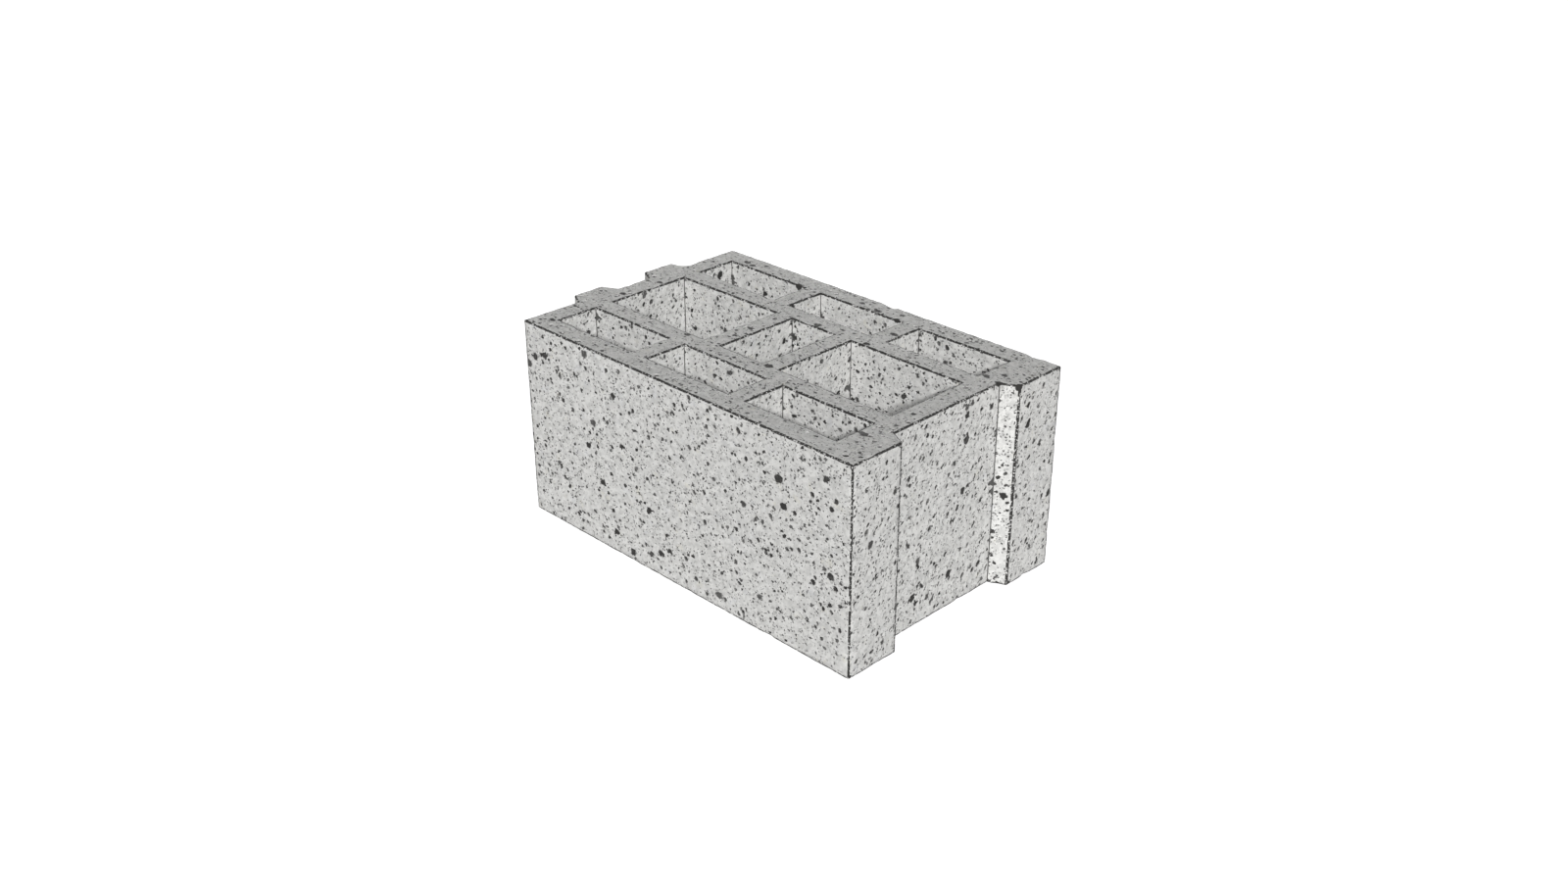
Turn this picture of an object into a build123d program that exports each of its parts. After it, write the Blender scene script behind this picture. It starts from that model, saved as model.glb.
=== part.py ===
from build123d import *
import os

# A hollow pumice building block, moulded in one piece. Sizes are in millimetres.
# X runs along the block, with the tongues at -X and the groove at +X. Y runs through the wall. Z is up.
# The origin is the middle of the block's overall box, on the face that it stands on.

# Driving dimensions
BODY_LENGTH = 390.0  # end face to end face, without the tongues
BODY_WIDTH = 250.0  # the thickness of the wall that it builds
BODY_HEIGHT = 186.0

SHELL = 22.0  # outer walls, also behind the groove
WEB = 20.0  # walls between the cells
SIDE_CELL_WIDTH = 40.5  # cells of the two outer rows
CELLS_IN_SIDE_ROW = 3
MIDDLE_SHORT_CELL_LENGTH = 50.0  # the cell between the two long ones of the middle row

KEY_DEPTH = 15.0  # how far a tongue stands out, and how deep the groove is
KEY_TAPER = 7.5  # how far each flank of a tongue or of the groove leans in over that depth
TONGUE_BASE = 47.0  # width of a tongue at the end face
TONGUE_GAP = 36.0  # between the two tongues at the end face
KEY_PLAY = 5.5  # room beside the tongues in a neighbour's groove, on each side

# Positions that follow from them
OVERALL_LENGTH = BODY_LENGTH + KEY_DEPTH
TONGUE_FACE = -OVERALL_LENGTH / 2 + KEY_DEPTH
GROOVE_FACE = OVERALL_LENGTH / 2
GROOVE_MOUTH = 2 * TONGUE_BASE + TONGUE_GAP + 2 * KEY_PLAY
CELLS_START = TONGUE_FACE + SHELL
CELLS_END = GROOVE_FACE - KEY_DEPTH - SHELL
CELLS_LENGTH = CELLS_END - CELLS_START
SIDE_CELL_LENGTH = (CELLS_LENGTH - (CELLS_IN_SIDE_ROW - 1) * WEB) / CELLS_IN_SIDE_ROW
MIDDLE_LONG_CELL_LENGTH = (CELLS_LENGTH - 2 * WEB - MIDDLE_SHORT_CELL_LENGTH) / 2
SIDE_ROW_Y = BODY_WIDTH / 2 - SHELL - SIDE_CELL_WIDTH / 2
MIDDLE_CELL_WIDTH = 2 * (SIDE_ROW_Y - SIDE_CELL_WIDTH / 2 - WEB)


def key_section(x_face, x_tip, y_middle, width_at_face):
    """The trapezium of a tongue or groove, from the end face to its narrower tip or floor."""
    at_face = width_at_face / 2
    at_tip = at_face - KEY_TAPER
    return make_face(
        Polyline(
            (x_face, y_middle - at_face),
            (x_tip, y_middle - at_tip),
            (x_tip, y_middle + at_tip),
            (x_face, y_middle + at_face),
            close=True,
        )
    )


def outline():
    """The block seen from above, with its two tongues and its groove, before the cells are cut."""
    middle_x = (TONGUE_FACE + GROOVE_FACE) / 2
    shape = Pos(middle_x, 0) * Rectangle(BODY_LENGTH, BODY_WIDTH)
    tongue_y = (TONGUE_GAP + TONGUE_BASE) / 2
    for y in (-tongue_y, tongue_y):
        shape += key_section(TONGUE_FACE, TONGUE_FACE - KEY_DEPTH, y, TONGUE_BASE)
    return shape - key_section(GROOVE_FACE, GROOVE_FACE - KEY_DEPTH, 0, GROOVE_MOUTH)


def cell_row(lengths, y_middle, width):
    """One row of cells, laid end to end with a web between each two."""
    cells = []
    start = CELLS_START
    for length in lengths:
        cells.append(Pos(start + length / 2, y_middle) * Rectangle(length, width))
        start += length + WEB
    return cells


def cells():
    """All nine cells, seen from above."""
    side_lengths = [SIDE_CELL_LENGTH] * CELLS_IN_SIDE_ROW
    middle_lengths = [MIDDLE_LONG_CELL_LENGTH, MIDDLE_SHORT_CELL_LENGTH, MIDDLE_LONG_CELL_LENGTH]
    return (
        cell_row(side_lengths, -SIDE_ROW_Y, SIDE_CELL_WIDTH)
        + cell_row(middle_lengths, 0, MIDDLE_CELL_WIDTH)
        + cell_row(side_lengths, SIDE_ROW_Y, SIDE_CELL_WIDTH)
    )


def pumice_block():
    """The whole block. Its cells, tongues and groove run through its full height."""
    plan = outline()
    for cell in cells():
        plan -= cell
    block = extrude(plan, BODY_HEIGHT)
    block.label = "pumice_block"
    return block


os.makedirs("parts", exist_ok=True)
export_step(pumice_block(), "parts/pumice_block.step")
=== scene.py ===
import math
import random

import bmesh
import bpy
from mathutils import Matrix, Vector, noise


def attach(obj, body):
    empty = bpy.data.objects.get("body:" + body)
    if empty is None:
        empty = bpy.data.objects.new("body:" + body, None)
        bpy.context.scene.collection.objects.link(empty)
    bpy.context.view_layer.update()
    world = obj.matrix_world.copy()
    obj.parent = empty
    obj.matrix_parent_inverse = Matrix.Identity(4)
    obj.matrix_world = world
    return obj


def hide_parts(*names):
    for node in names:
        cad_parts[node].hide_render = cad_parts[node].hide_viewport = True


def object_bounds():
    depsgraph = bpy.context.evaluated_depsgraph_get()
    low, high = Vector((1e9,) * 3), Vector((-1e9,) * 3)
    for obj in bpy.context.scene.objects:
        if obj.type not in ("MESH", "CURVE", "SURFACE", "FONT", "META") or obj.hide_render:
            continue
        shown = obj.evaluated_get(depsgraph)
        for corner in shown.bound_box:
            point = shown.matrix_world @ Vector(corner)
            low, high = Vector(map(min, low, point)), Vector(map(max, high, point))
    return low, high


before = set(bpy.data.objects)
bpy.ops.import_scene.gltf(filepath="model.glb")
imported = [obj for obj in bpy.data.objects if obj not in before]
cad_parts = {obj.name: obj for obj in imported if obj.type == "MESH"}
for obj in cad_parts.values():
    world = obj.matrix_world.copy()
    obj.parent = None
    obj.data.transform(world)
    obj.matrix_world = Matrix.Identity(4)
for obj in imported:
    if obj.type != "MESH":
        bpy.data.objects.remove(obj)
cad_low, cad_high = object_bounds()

# Sizes are in metres. The outer sizes come from the CAD parts of model.glb, in which the block stands on z =
# 0 with its length along X.
MM = 0.001
LENGTH, WIDTH, HEIGHT = cad_high - cad_low
MIDDLE = (cad_low + cad_high) / 2
SHELL = 22 * MM
KEY_DEPTH = 15 * MM
AXES = (Vector((1, 0, 0)), Vector((0, 1, 0)), Vector((0, 0, 1)))

# How finely the cast faces are divided, which is coarser deep down in the cells
STEP = 4.5 * MM
DEEP_STEP = 9.0 * MM
FINE_WALL_DEPTH = 70 * MM

# Points closer than WELD are one point. Edges shorter than NARROW are closed up before the arrises are
# bevelled, edges shorter than BEVEL_SLIVER after it, and edges shorter than SLIVER once the pores are sunk.
WELD = 0.01 * MM
NARROW = 1.4 * MM
BEVEL_SLIVER = 0.1 * MM
SLIVER = 0.03 * MM

# Angles between neighbouring faces: less than FLAT is one flat, more than SHARP is an arris or an inside
# corner, and more than CREASE is a crease in the shading
FLAT = math.radians(1)
SHARP = math.radians(15)
CREASE = math.radians(28)
# Two faces lie the same way when the product of their normals is more than this
SAME_WAY = 0.999

# Wear, in millimetres: the bevel of an arris, the waves in the flats, how far the arrises are worn back and
# how much that varies, and the chips, which are where their noise is above CHIP_LEVEL. Each size is how far
# apart the waves, the grit or the chips are, and each start keeps one noise from following another.
ARRIS = 1.1
WAVE, WAVE_SIZE = 0.12, 23
WEAR, WEAR_VARIES, GRIT_SIZE = 0.25, 0.35, 4.1
CHIP, CHIP_LEVEL, CHIP_SIZE = 4.5, 0.42, 13
GRIT_START = Vector((7, 1, 3))
CHIP_START = Vector((31, 17, 5))

# The pores that are real hollows: the shares of the places that hold a small one or a large one, what those
# are multiplied by out of sight and in the groove and beside the tongues, and the least side of their faces
SMALL_PORE_SHARE = 0.085
LARGE_PORE_SHARE = 0.027
OUT_OF_SIGHT = 0.35
AT_THE_KEYS = 1.9
PORE_ROOM = 0.62 * STEP
# How far the long way of a pore leans from upright, in degrees, on the ends, the sides and the beds
PORE_LEAN = (-25, -66, 30)
LEAN_VARIES = 28
# What is drawn for each pore: its radius over its face's, its short way over its long way, how far out its
# outline is at each of its points, and how dark the painted shade in it is. DRIFT is how much of the room
# left it may move in.
PORE_RADIUS = (0.6, 0.92)
PORE_SLIMNESS = (0.42, 1.0)
PORE_OUTLINE = (0.7, 1.0)
PORE_POINTS = 8
PORE_DARKNESS = (0.75, 1.0)
DRIFT = 0.7
RING_GAP = 0.05 * MM
# The rings of a pore, from its mouth down: the share of its radius, its depth over its short radius, and
# how dark the painted shade on it is
LARGE_RINGS = ((1.0, 0.0, 0.0), (0.8, 0.5, 1.0), (0.45, 0.75, 1.0))
SMALL_RINGS = ((1.0, 0.0, 0.0), (0.65, 0.6, 1.0))
DICE = random.Random(3719)

# The map for baking: the gap between its flats, and how large the cells' walls are on it
MAP_GAP = 4 * MM
CELL_MAP_SCALE = 0.7


# Shader arithmetic
class Number:
    """A socket of a material that gives a number, with ordinary arithmetic."""

    def __init__(self, finish, socket):
        self.finish = finish
        self.socket = socket

    def maths(self, operation, first, second=0.0, clamp=False):
        settings = {"operation": operation, "use_clamp": clamp}
        return Number(self.finish, self.finish.node("ShaderNodeMath", settings, {0: first, 1: second}))

    def __add__(self, other):
        return self.maths("ADD", self, other)

    def __radd__(self, other):
        return self.maths("ADD", other, self)

    def __sub__(self, other):
        return self.maths("SUBTRACT", self, other)

    def __rsub__(self, other):
        return self.maths("SUBTRACT", other, self)

    def __mul__(self, other):
        return self.maths("MULTIPLY", self, other)

    def __rmul__(self, other):
        return self.maths("MULTIPLY", other, self)

    def __abs__(self):
        return self.maths("ABSOLUTE", self)

    def at_least(self, other):
        return self.maths("MAXIMUM", self, other)

    def at_most(self, other):
        return self.maths("MINIMUM", self, other)

    def clamped(self):
        return self.maths("ADD", self, 0.0, clamp=True)

    def fades(self, full, none):
        """1 where the number is at full, 0 where it is at none, and smooth between."""
        settings = {"interpolation_type": "SMOOTHSTEP"}
        sockets = {"Value": self, "From Min": none, "From Max": full}
        return Number(self.finish, self.finish.node("ShaderNodeMapRange", settings, sockets))


class Finish:
    """A material or the world in the making. put() and node() add a node, and mix() blends two colours."""

    def __init__(self, owner):
        owner.use_nodes = True
        self.owner = owner
        self.tree = owner.node_tree
        self.tree.nodes.clear()

    def put(self, kind, settings, sockets):
        """Adds a node: its settings first, then a value or a link for each socket that is named."""
        made = self.tree.nodes.new(kind)
        for name, value in settings.items():
            setattr(made, name, value)
        for name, value in sockets.items():
            socket = self.named(made.inputs, name)
            value = getattr(value, "socket", value)
            if isinstance(value, bpy.types.NodeSocket):
                self.tree.links.new(value, socket)
            else:
                socket.default_value = value
        return made

    def node(self, kind, settings, sockets, output=0):
        """Adds a node and gives one of its outputs."""
        return self.named(self.put(kind, settings, sockets).outputs, output)

    def named(self, sockets, name):
        """The socket with that number, identifier or name."""
        if isinstance(name, int):
            return sockets[name]
        return next(s for s in sockets if name in (s.identifier, s.name))

    def number(self, kind, settings, sockets, output=0):
        return Number(self, self.node(kind, settings, sockets, output))

    def attribute(self, name):
        """A number that the mesh carries at each of its points."""
        return self.number("ShaderNodeAttribute", {"attribute_name": name}, {}, "Fac")

    def mix(self, factor, first, second):
        settings = {"data_type": "RGBA", "blend_type": "MIX"}
        sockets = {"Factor_Float": factor, "A_Color": first, "B_Color": second}
        return self.node("ShaderNodeMix", settings, sockets, "Result_Color")

    def vector(self, operation, *values, scale=None):
        sockets = dict(enumerate(values))
        if scale is not None:
            sockets["Scale"] = scale
        return self.node("ShaderNodeVectorMath", {"operation": operation}, sockets)

    def clouds(self, place, size, detail=2.0, roughness=0.5):
        """Noise from 0 to 1 whose clouds are about that size, in millimetres."""
        sockets = {"Vector": place, "Scale": 1 / size, "Detail": detail, "Roughness": roughness}
        return self.number("ShaderNodeTexNoise", {"noise_dimensions": "3D"}, sockets, "Fac")

    def scattered(self, place, spacing):
        """Scattered points that far apart: how far the nearest is, in millimetres, and its three draws."""
        settings = {"voronoi_dimensions": "3D", "feature": "F1"}
        found = self.put("ShaderNodeTexVoronoi", settings, {"Vector": place, "Scale": 1 / spacing})
        split = self.put("ShaderNodeSeparateColor", {}, {"Color": found.outputs["Color"]})
        distance = Number(self, found.outputs["Distance"]) * spacing
        return distance, [Number(self, s) for s in split.outputs]

    def done(self, shader, output="ShaderNodeOutputMaterial"):
        self.put(output, {}, {"Surface": shader})
        return self.owner


def grey(value):
    return (value, value, value, 1.0)


def stone(value, warmth=0.0):
    """The grey of the concrete, which is a little yellow, or warmer."""
    return (value * (1.004 + warmth), value, value * (0.978 - warmth), 1.0)


# The cast block
def merged_copy(node):
    """The node's own faces, joined at their seams, with no line across a flat face but those it needs."""
    mesh = bmesh.new()
    mesh.from_mesh(node.data)
    bmesh.ops.remove_doubles(mesh, verts=mesh.verts, dist=WELD)
    bmesh.ops.dissolve_limit(mesh, angle_limit=FLAT, verts=mesh.verts, edges=mesh.edges)
    return mesh


def is_wall(face):
    """True for an upright face, and False for one that lies more like a bed."""
    return abs(face.normal.z) < 0.5


def in_a_cell(face):
    """True for a wall of one of the cells, and not of the outside."""
    middle = face.calc_center_median() - MIDDLE
    body = LENGTH / 2 - KEY_DEPTH
    across = abs(middle.y) < WIDTH / 2 - SHELL / 2
    along = abs(middle.x) < body - SHELL / 2
    return is_wall(face) and across and along


def even_cuts(places, step):
    """The places but the first and the last, and cuts between them all, at most about a step apart."""
    spare = 0.01
    cuts = []
    for first, last in zip(places, places[1:]):
        count = max(1, math.ceil((last - first) / step - spare))
        cuts += [first + (last - first) * i / count for i in range(count)]
    return cuts[1:]


def flat_places(mesh, axis):
    """Where the block has flat faces square to an axis, in order."""
    square = [f for f in mesh.faces if abs(f.normal.dot(axis)) > SAME_WAY]
    return sorted({round(f.calc_center_median().dot(axis), 5) for f in square})


def cut(mesh, faces, axis, places):
    """Cuts those faces across an axis at each place."""
    for place in places:
        edges = dict.fromkeys(e for f in faces for e in f.edges)
        verts = dict.fromkeys(v for f in faces for v in f.verts)
        geometry = list(verts) + list(edges) + list(faces)
        cut_open = bmesh.ops.bisect_plane(
            mesh, geom=geometry, dist=WELD, plane_co=axis * place, plane_no=axis
        )
        faces = [g for g in cut_open["geom"] if isinstance(g, bmesh.types.BMFace)]


def stray(edge):
    """True for an edge that runs slantwise over a flat face."""
    if len(edge.link_faces) != 2 or edge.calc_face_angle(0) > FLAT:
        return False
    along = edge.verts[1].co - edge.verts[0].co
    if is_wall(edge.link_faces[0]):
        return abs(along.z) > WELD and math.hypot(along.x, along.y) > WELD
    return min(abs(along.x), abs(along.y)) > WELD


def divide(mesh):
    """Divides the faces into small ones, about square, and longer deep down in the cells."""
    for axis in AXES[:2]:
        cut(mesh, mesh.faces[:], axis, even_cuts(flat_places(mesh, axis), STEP))
    top = cad_high.z
    walls = [f for f in mesh.faces if is_wall(f)]
    outside = [f for f in walls if not in_a_cell(f)]
    inside = [f for f in walls if in_a_cell(f)]
    cut(mesh, outside, AXES[2], even_cuts([cad_low.z, top], STEP))
    deep = even_cuts([cad_low.z, top - FINE_WALL_DEPTH], DEEP_STEP)
    fine = even_cuts([top - FINE_WALL_DEPTH, top], STEP)
    cut(mesh, inside, AXES[2], deep + [top - FINE_WALL_DEPTH] + fine)
    strays = [e for e in mesh.edges if stray(e)]
    bmesh.ops.dissolve_edges(mesh, edges=strays, use_verts=True, use_face_split=False)


def planes_met(point):
    """How many planes meet at a point: 1 on a flat face, 2 along an arris, 3 or more at a corner."""
    met = []
    for face in point.link_faces:
        if all(face.normal.dot(other) < SAME_WAY for other in met):
            met.append(face.normal)
    return len(met)


def close_up(mesh):
    """Takes out the narrow strips beside the keys' corners, by welding their points to the corners."""
    while True:
        mesh.normal_update()
        short = [e for e in mesh.edges if e.calc_length() < NARROW]
        moved = {}
        used = set()
        for edge in short:
            if used.isdisjoint(edge.verts):
                used.update(edge.verts)
                stays = max(edge.verts, key=planes_met)
                moved[edge.other_vert(stays)] = stays
        if not moved:
            return
        bmesh.ops.weld_verts(mesh, targetmap=moved)


def bevel_arrises(mesh):
    """Takes the sharpness off every outward arris, and returns the points along them."""
    arrises = [e for e in mesh.edges if e.calc_face_angle_signed(0) > SHARP]
    bevelled = bmesh.ops.bevel(
        mesh, geom=arrises, offset=ARRIS * MM, offset_type="OFFSET", affect="EDGES", segments=2,
        profile=0.5, material=-1, clamp_overlap=False,
    )
    points = set(bevelled["verts"])
    bmesh.ops.dissolve_degenerate(mesh, dist=BEVEL_SLIVER, edges=mesh.edges)
    return [v for v in mesh.verts if v in points]


def mark_corner_shade(mesh, corner):
    """Marks the points along every inside corner, for a dark line of painted shade there."""
    mesh.normal_update()
    for edge in mesh.edges:
        if edge.calc_face_angle_signed(0) < -SHARP:
            for point in edge.verts:
                point[corner] = 1.0


def has_room(face):
    """True for a face whose sides are all long enough for a pore."""
    return min(e.calc_length() for e in face.edges) > PORE_ROOM


def is_open_flat(point):
    """True for a point with four faces round it, all in one plane and none of them narrow."""
    faces = point.link_faces
    if len(faces) != 4 or any(len(f.verts) != 4 for f in faces):
        return False
    if any(f.normal.dot(faces[0].normal) < SAME_WAY for f in faces):
        return False
    return all(has_room(f) for f in faces)


def wanted(face, share):
    """Draws whether a face holds a pore: more do in the groove and beside the tongues, fewer out of sight."""
    middle = face.calc_center_median()
    in_cell = in_a_cell(face)
    underneath = face.normal.z < -0.9
    deep_down = in_cell and cad_high.z - middle.z > FINE_WALL_DEPTH
    end_face = abs(face.normal.x) > 0.9 and not in_cell
    if underneath or deep_down:
        share *= OUT_OF_SIGHT
    elif end_face and abs(middle.x) < (LENGTH - KEY_DEPTH) / 2:
        share *= AT_THE_KEYS
    return DICE.random() < share


def join_fours(mesh):
    """Joins four small faces into one wherever a large pore will be, and returns the joined faces."""
    chosen = []
    taken = set()
    for point in mesh.verts:
        faces = point.link_faces
        if not is_open_flat(point) or not wanted(faces[0], LARGE_PORE_SHARE):
            continue
        if taken.isdisjoint(faces):
            taken.update(faces)
            chosen.append(point)
    bmesh.ops.dissolve_verts(mesh, verts=chosen)
    return [f for f in mesh.faces if len(f.verts) == 8]


def plan_pore(face):
    """Draws the pore of one face: where and how it lies, its radius, slimness, outline and the darkness of
    its painted shade.
    """
    normal = face.normal.copy()
    upward = AXES[2] if is_wall(face) else AXES[0]
    sideways = upward.cross(normal).normalized()
    upward = normal.cross(sideways)
    middle = face.calc_center_median()
    spread = [v.co - middle for v in face.verts]
    reach = Vector((max(abs(s.dot(sideways)) for s in spread), max(abs(s.dot(upward)) for s in spread)))
    axis = max(range(3), key=lambda way: abs(normal[way]))
    lean = math.radians(DICE.gauss(PORE_LEAN[axis], LEAN_VARIES))
    radius = DICE.uniform(*PORE_RADIUS) * min(reach)
    slim = DICE.uniform(*PORE_SLIMNESS)
    drift = Vector([DICE.uniform(-1, 1) * (r - radius) * DRIFT for r in reach])
    outline = [DICE.uniform(*PORE_OUTLINE) for _ in range(PORE_POINTS)]
    darkness = DICE.uniform(*PORE_DARKNESS)
    return middle, normal, sideways, upward, radius, slim, lean, drift, outline, darkness


def sink_pores(mesh, faces, rings, pore_shade, arris):
    """Sinks a pore in each face, ring by ring. A square face first gets one point more on each side."""
    plans = {face: plan_pore(face) for face in faces}
    for number, (share, depth, dark) in enumerate(rings):
        bmesh.ops.inset_individual(mesh, faces=faces, thickness=RING_GAP, depth=0, use_even_offset=True)
        if number == 0:
            squares = [f for f in faces if len(f.verts) == 4]
            sides = list(dict.fromkeys(e for f in squares for e in f.edges))
            bmesh.ops.bisect_edges(mesh, edges=sides, cuts=1)
        for face in faces:
            middle, normal, sideways, upward, radius, slim, lean, drift, outline, darkness = plans[face]
            for point, part in zip(face.verts, outline):
                away = point.co - middle
                angle = math.atan2(away.dot(upward), away.dot(sideways))
                turned = angle - lean
                reach = radius * slim / math.hypot(slim * math.sin(turned), math.cos(turned))
                reach = reach * part * share
                across = sideways * (drift.x + reach * math.cos(angle))
                along = upward * (drift.y + reach * math.sin(angle))
                point.co = middle + across + along - normal * depth * radius * slim
                # Painted shade: the pore's lining is darkened from its mouth down
                point[pore_shade] = dark * darkness
                point[arris] = 0.0


def crumble(mesh, arris_points, arris):
    """Wears the arrises back unevenly, chips them in places, and leaves the faces a little uneven."""
    worn = set(arris_points)
    mesh.normal_update()
    for point in mesh.verts:
        place = point.co / MM
        sunk = WAVE * (0.5 + 0.5 * noise.noise(place / WAVE_SIZE))
        if point in worn:
            grit = noise.noise(place / GRIT_SIZE + GRIT_START)
            chip = noise.noise(place / CHIP_SIZE + CHIP_START)
            sunk += max(0, WEAR + WEAR_VARIES * grit) + CHIP * max(0, chip - CHIP_LEVEL)
            # Marks the worn point for the dark line of grime and painted shade along the arris
            point[arris] = 1.0
        point.co -= point.normal * sunk * MM


def keep_inside(mesh):
    """Moves the points that stand some hundredths of a millimetre proud of the block's box back to it."""
    for point in mesh.verts:
        point.co = [min(max(c, low), high) for c, low, high in zip(point.co, cad_low, cad_high)]


def number_flats(mesh, flat):
    """Numbers the block's flats, and gives each one's way across, its way up and its scale on the map."""
    mesh.faces.index_update()
    numbers = {}
    flats = []
    for face in mesh.faces:
        bed = round(face.normal.z)
        name = bed or ("wall", face.index)
        if name not in numbers:
            numbers[name] = len(flats)
            across = AXES[0] * bed if bed else AXES[2].cross(face.normal).normalized()
            flats.append((across, AXES[1] if bed else AXES[2], CELL_MAP_SCALE if in_a_cell(face) else 1.0))
        face[flat] = numbers[name]
    return flats


def in_rows(sizes, side):
    """Where each box goes in rows on a square of that side, the tallest first, or None if they don't fit."""
    rows = []
    corners = {}
    for number in sorted(range(len(sizes)), key=lambda n: (-sizes[n].y, -sizes[n].x)):
        size = sizes[number]
        row = next((r for r in rows if r["used"] + size.x <= side), None)
        if row is None:
            row = {"base": sum(r["height"] for r in rows), "height": size.y, "used": 0.0}
            rows.append(row)
        if row["used"] + size.x > side or row["base"] + size.y > side:
            return None
        corners[number] = Vector((row["used"], row["base"]))
        row["used"] += size.x
    return corners


def lay_out(mesh, flat, flats):
    """Gives the block a map for baking, with every flat to scale and the cells' walls a little smaller."""
    chart = mesh.loops.layers.uv.new("OFBake")
    spots = [[] for _ in flats]
    for face in mesh.faces:
        across, upward, scale = flats[face[flat]]
        for loop in face.loops:
            point = loop.vert.co
            loop[chart].uv = (point.dot(across) * scale, point.dot(upward) * scale)
            spots[face[flat]].append(loop[chart].uv)
    gap = Vector((MAP_GAP, MAP_GAP))
    lows = [Vector((min(s.x for s in those), min(s.y for s in those))) for those in spots]
    highs = [Vector((max(s.x for s in those), max(s.y for s in those))) for those in spots]
    sizes = [high - low + gap for low, high in zip(lows, highs)]
    side = LENGTH
    corners = in_rows(sizes, side)
    while corners is None:
        side += MAP_GAP
        corners = in_rows(sizes, side)
    for face in mesh.faces:
        number = face[flat]
        for loop in face.loops:
            loop[chart].uv = (loop[chart].uv - lows[number] + corners[number] + gap / 2) / side


def build_block():
    """The CAD node's own faces, divided, bevelled, worn, pitted and laid out for baking."""
    mesh = merged_copy(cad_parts["pumice_block"])
    flats = number_flats(mesh, mesh.faces.layers.int.new("flat"))
    divide(mesh)
    close_up(mesh)
    # Point attributes for the painted shade in the pores and the inside corners, and for the grime and
    # painted shade along the worn arrises
    pore_shade, arris, corner = (mesh.verts.layers.float.new(name) for name in ("pore_shade", "arris", "corner"))
    arris_points = bevel_arrises(mesh)
    # The inside corners get a line of painted shade
    mark_corner_shade(mesh, corner)
    large = join_fours(mesh)
    squares = [f for f in mesh.faces if len(f.verts) == 4]
    small = [f for f in squares if has_room(f) and wanted(f, SMALL_PORE_SHARE)]
    crumble(mesh, arris_points, arris)
    sink_pores(mesh, large, LARGE_RINGS, pore_shade, arris)
    sink_pores(mesh, small, SMALL_RINGS, pore_shade, arris)
    keep_inside(mesh)
    bmesh.ops.dissolve_degenerate(mesh, dist=SLIVER, edges=mesh.edges)
    for face in mesh.faces:
        face.smooth = True
    for edge in mesh.edges:
        edge.smooth = edge.calc_face_angle(0) < CREASE
    lay_out(mesh, mesh.faces.layers.int["flat"], flats)
    mesh.faces.layers.int.remove(mesh.faces.layers.int["flat"])
    body = bpy.data.meshes.new("cast_block")
    mesh.to_mesh(body)
    mesh.free()
    block = bpy.data.objects.new("cast_block", body)
    bpy.context.scene.collection.objects.link(block)
    return block


# The pumice concrete: how far apart its dark grains lie, their largest radius, how many of the places
# hold one, and how dark it may be. The distances are in millimetres.
GRAINS = (
    (3.4, 1.5, 0.65, 0.36),
    (2.2, 0.95, 0.62, 0.75),
    (4.6, 1.9, 0.44, 0.9),
    (12.0, 4.1, 0.28, 1.0),
)
# How the grains are turned and drawn out, about and along X, Y and Z
GRAIN_TURN = (math.radians(-28), math.radians(-22), 0.0)
GRAIN_STRETCH = (1.2, 0.78, 1.12)
# How dark the painted shade in a pore is, the grime and painted shade along a crumbled arris and the painted
# shade in an inside corner, and how much painted shade darkens the beds
PORE_PAINTED_SHADE, ARRIS_GRIME_AND_SHADE, CORNER_PAINTED_SHADE = 0.9, 0.92, 0.72
BED_PAINTED_SHADE = 0.08
# Its colours
DARK_CEMENT = stone(0.50)
PALE_CEMENT = stone(0.80)
WARM_CEMENT = stone(0.69, 0.01)
GRIT_GREY = stone(0.36)
# The near-black of the real dark grains, towards which the painted shade of the pores, arrises and corners
# also darkens
GRAIN_AND_SHADE_BLACK = stone(0.022, 0.03)
YELLOW_STAIN = (0.69, 0.65, 0.49, 1.0)
BLUE_STAIN = (0.63, 0.64, 0.69, 1.0)


def wobbled(finish, place):
    """The place, in millimetres, pushed about a little, so that what is laid on it isn't quite round."""
    sockets = {"Vector": place, "Scale": 1 / 3.2, "Detail": 2.0}
    push = finish.node("ShaderNodeTexNoise", {"noise_dimensions": "3D"}, sockets, "Color")
    push = finish.vector("SCALE", finish.vector("SUBTRACT", push, (0.5, 0.5, 0.5)), scale=4.2)
    return finish.vector("ADD", place, push)


def dark_marks(finish, millimetres, drawn_out):
    """How dark the real grains, the painted shade in the pores and the inside corners, and the grime and
    painted shade along the crumbled arrises are, from 0 to 1.
    """
    crowd = finish.clouds(millimetres, 14, 1.0)
    # Painted shade in the pores' hollows
    dark = finish.attribute("pore_shade") * PORE_PAINTED_SHADE
    for spacing, radius, share, deepest in GRAINS:
        distance, (first, second, third) = finish.scattered(drawn_out, spacing)
        bare = 1 - share * (0.4 + 1.2 * crowd)
        edge = (0.45 + 0.55 * first) * radius * (second - bare).fades(0.02, 0.0)
        spot = (distance - edge).fades(-0.24 * radius, 0.12 * radius)
        dark = dark.at_least(spot * (0.7 + 0.3 * third) * deepest)
    dark = dark * (0.74 + 0.52 * finish.clouds(millimetres, 1.7))
    broken = finish.clouds(millimetres, 2.0, 1.0)
    # Grime and painted shade: a broken dark line along the worn arrises, for the dirt and the shade in their
    # broken-out grains
    crumbled_and_shaded = finish.attribute("arris").fades(0.98, 0.62) * broken.fades(0.5, 0.28)
    # Painted shade: a thin dark line along every inside corner
    corner = finish.attribute("corner").fades(0.97, 0.78)
    return dark.at_least(crumbled_and_shaded * ARRIS_GRIME_AND_SHADE).at_least(corner * CORNER_PAINTED_SHADE).clamped()


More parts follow.
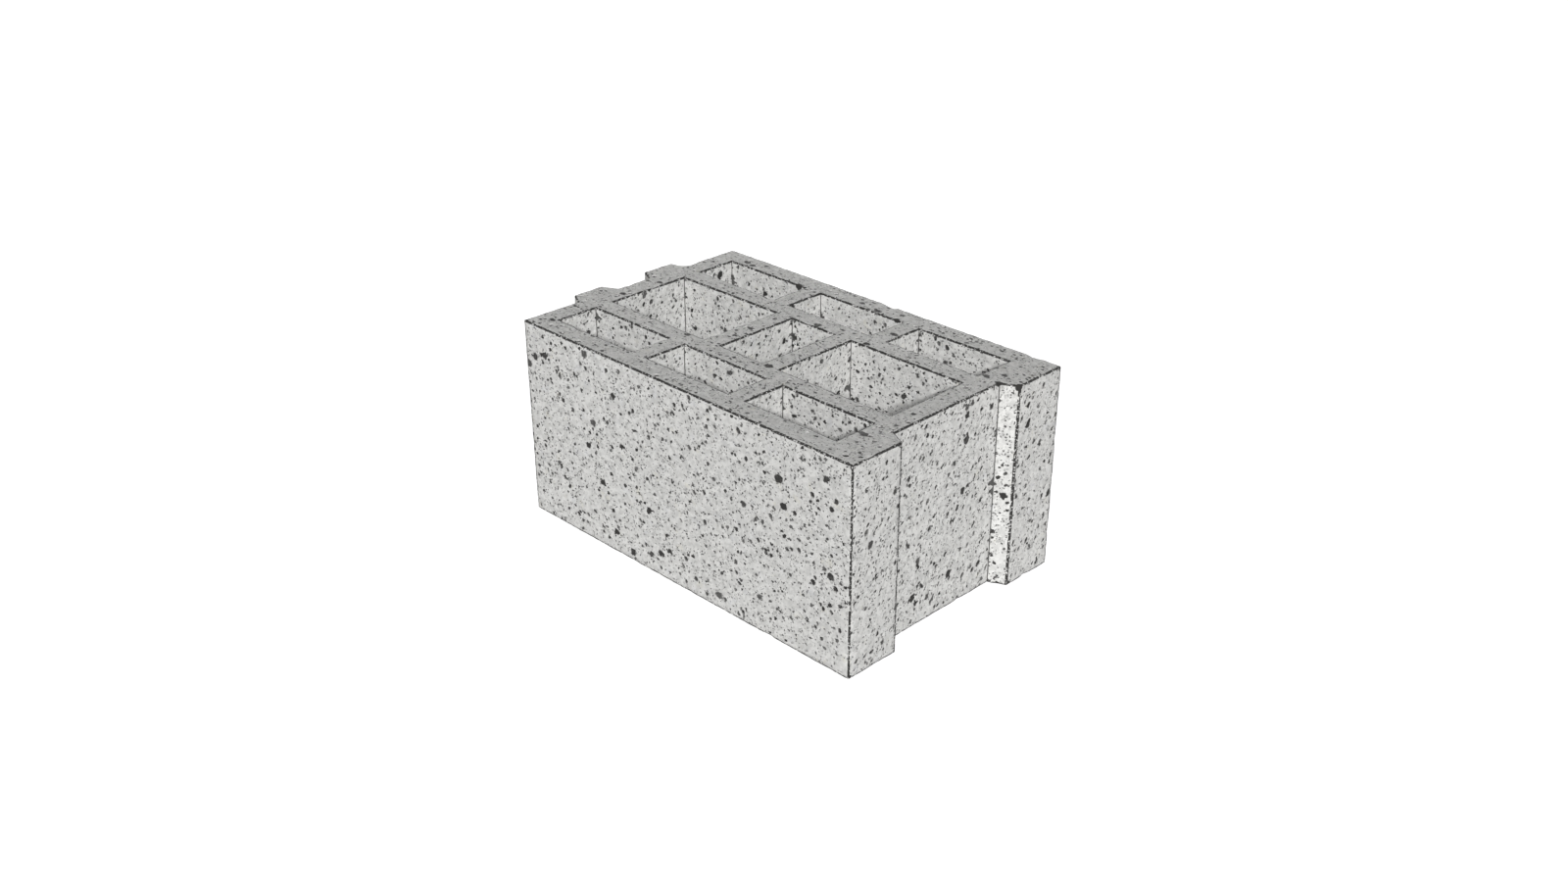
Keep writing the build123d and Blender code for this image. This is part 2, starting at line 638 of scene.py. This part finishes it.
def pale_ground(finish, millimetres, uneven, mottle, grit):
    """The colour between the dark marks: mottled cement, faint stains, grit, and painted shade that makes the
    beds slightly darker.
    """
    ground = finish.clouds(millimetres, 26, 3.0)
    stain = finish.clouds(uneven, 11, 2.0, 0.6)
    pale = finish.mix(mottle.fades(0.68, 0.32), DARK_CEMENT, PALE_CEMENT)
    pale = finish.mix(ground.fades(0.75, 0.25) * 0.3, pale, WARM_CEMENT)
    pale = finish.mix(stain.fades(0.74, 0.64) * 0.3, pale, YELLOW_STAIN)
    pale = finish.mix(stain.fades(0.28, 0.38) * 0.3, pale, BLUE_STAIN)
    pale = finish.mix(grit.fades(0.36, 0.18) * 0.45, pale, GRIT_GREY)
    # Painted shade: near the top and the bottom planes the beds are made darker than the sides
    up = finish.number("ShaderNodeSeparateXYZ", {}, {"Vector": millimetres}, "Z")
    from_bed = up.at_most(HEIGHT / MM - up)
    return finish.mix(from_bed.fades(0.3, 1.5) * BED_PAINTED_SHADE, pale, grey(0.0))


def pumice_concrete():
    """Pale grey cement and pumice, full of dark grains and pores from under 1 mm to about 8 mm, with painted
    shade in the pores, in the inside corners and on the beds, and grime and painted shade along the arrises.
    """
    finish = Finish(bpy.data.materials.new("pumice_concrete"))
    place = finish.node("ShaderNodeTexCoord", {}, {}, "Object")
    millimetres = finish.vector("SCALE", place, scale=1 / MM)
    uneven = wobbled(finish, millimetres)
    drawn_out = finish.node("ShaderNodeMapping", {"vector_type": "TEXTURE"}, {
        "Vector": uneven, "Rotation": GRAIN_TURN, "Scale": GRAIN_STRETCH,
    })
    mottle = finish.clouds(drawn_out, 5.0, 3.0, 0.6)
    grit = finish.clouds(millimetres, 0.8, 1.0)
    dark = dark_marks(finish, millimetres, drawn_out)
    pale = pale_ground(finish, millimetres, uneven, mottle, grit)
    # The real dark grains and the painted shade darken the pale ground towards one near-black
    colour = finish.mix(dark.fades(0.9, 0.0), pale, GRAIN_AND_SHADE_BLACK)
    height = (grit - 0.5) * 0.35 + (mottle - 0.5) * 0.3 - dark * 0.4
    bump = finish.node("ShaderNodeBump", {}, {"Strength": 0.8, "Distance": MM, "Height": height}, "Normal")
    shader = finish.node("ShaderNodeBsdfPrincipled", {}, {
        "Base Color": colour, "Roughness": 0.93 - dark * 0.08, "Specular IOR Level": 0.25, "Normal": bump,
    })
    return finish.done(shader)


# The floor and the light. The glow is how bright the floor shows to the camera: full far away, less near the
# block, where the lamps add theirs, and hardly any under it.
FLOOR_REACH = 6.0
FLOOR_GREY = 0.5
NEAR, FAR = 0.4, 1.1
NEAR_GLOW, FAR_GLOW, UNDER_LOSS = 0.70, 1.0, 0.64
SKY = 0.05


def studio_floor():
    """A pale floor that shows white to the camera, keeps the block's soft shadow and is dim under it."""
    mesh = bmesh.new()
    bmesh.ops.create_grid(mesh, x_segments=1, y_segments=1, size=FLOOR_REACH)
    body = bpy.data.meshes.new("floor")
    mesh.to_mesh(body)
    mesh.free()
    floor = bpy.data.objects.new("floor", body)
    bpy.context.scene.collection.objects.link(floor)
    finish = Finish(bpy.data.materials.new("studio_floor"))
    seen = white_rays(finish)
    place = finish.node("ShaderNodeTexCoord", {}, {}, "Object")
    away = finish.number("ShaderNodeVectorMath", {"operation": "LENGTH"}, {0: place}, "Value")
    along, across = (abs(finish.number("ShaderNodeSeparateXYZ", {}, {"Vector": place}, way)) for way in "XY")
    outside = (along - (LENGTH / 2 - KEY_DEPTH)).at_least(across - WIDTH / 2)
    under = outside.fades(-SHELL, -SHELL / 4)
    clear = NEAR_GLOW + (FAR_GLOW - NEAR_GLOW) * away.fades(FAR, NEAR) - UNDER_LOSS * under
    matt = finish.node("ShaderNodeBsdfDiffuse", {}, {"Color": grey(FLOOR_GREY)})
    glow = finish.node("ShaderNodeEmission", {}, {"Color": grey(1.0), "Strength": seen * clear})
    body.materials.append(finish.done(finish.node("ShaderNodeAddShader", {}, {0: matt, 1: glow})))


def white_rays(finish):
    """1 for what the camera, a reflection or glass sees, and 0 for what lights the block."""
    kinds = ("Is Camera Ray", "Is Glossy Ray", "Is Transmission Ray")
    camera, glossy, through = (finish.number("ShaderNodeLightPath", {}, {}, k) for k in kinds)
    return camera.at_least(glossy).at_least(through)


def studio_world():
    """White to the camera, and a faint even light on the block."""
    finish = Finish(bpy.data.worlds.new("studio"))
    seen = white_rays(finish)
    sky = finish.node("ShaderNodeBackground", {}, {"Color": grey(1.0), "Strength": SKY + seen * (1 - SKY)})
    bpy.context.scene.world = finish.done(sky, "ShaderNodeOutputWorld")


def towards(azimuth, elevation):
    """The way from the block to an azimuth and elevation, in degrees. Azimuth 0 is at -Y, 90 at +X."""
    turn, rise = math.radians(azimuth), math.radians(elevation)
    return Vector((math.sin(turn) * math.cos(rise), -math.cos(turn) * math.cos(rise), math.sin(rise)))


def far_softbox(name, azimuth, elevation, spread, level):
    """A wide, far lamp. A white surface that faces it squarely renders at the level."""
    light = bpy.data.lights.new(name, "SUN")
    light.angle = math.radians(spread)
    light.energy = level * math.pi
    lamp = bpy.data.objects.new(name, light)
    way = towards(azimuth, elevation)
    lamp.location = MIDDLE + way
    lamp.rotation_euler = way.to_track_quat("Z", "Y").to_euler()
    bpy.context.scene.collection.objects.link(lamp)


# The camera looks at a corner of the block, 45 degrees round and 26.6 degrees up. Its lens is in millimetres.
CAMERA_AZIMUTH = 45.0
CAMERA_ELEVATION = math.degrees(math.atan(0.5))
CAMERA_DISTANCE = 1.4397
LENS = 37.81
SENSOR = 36.0
AIM = Vector((0.0, 0.0074, 0.0876))


def photo_camera():
    data = bpy.data.cameras.new("camera")
    data.lens = LENS
    data.sensor_width = SENSOR
    data.clip_start = 10 * MM
    camera = bpy.data.objects.new("camera", data)
    way = towards(CAMERA_AZIMUTH, CAMERA_ELEVATION)
    camera.location = AIM + way * CAMERA_DISTANCE
    camera.rotation_euler = way.to_track_quat("Z", "Y").to_euler()
    bpy.context.scene.collection.objects.link(camera)
    bpy.context.scene.camera = camera


block = build_block()
block.data.materials.append(pumice_concrete())
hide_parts("pumice_block")
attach(block, "root")
studio_floor()
studio_world()
far_softbox("key", CAMERA_AZIMUTH, elevation=26, spread=8, level=1.46)
far_softbox("back_fill", CAMERA_AZIMUTH + 180, elevation=0, spread=20, level=1.7)
photo_camera()
bpy.context.scene.view_settings.view_transform = "Standard"
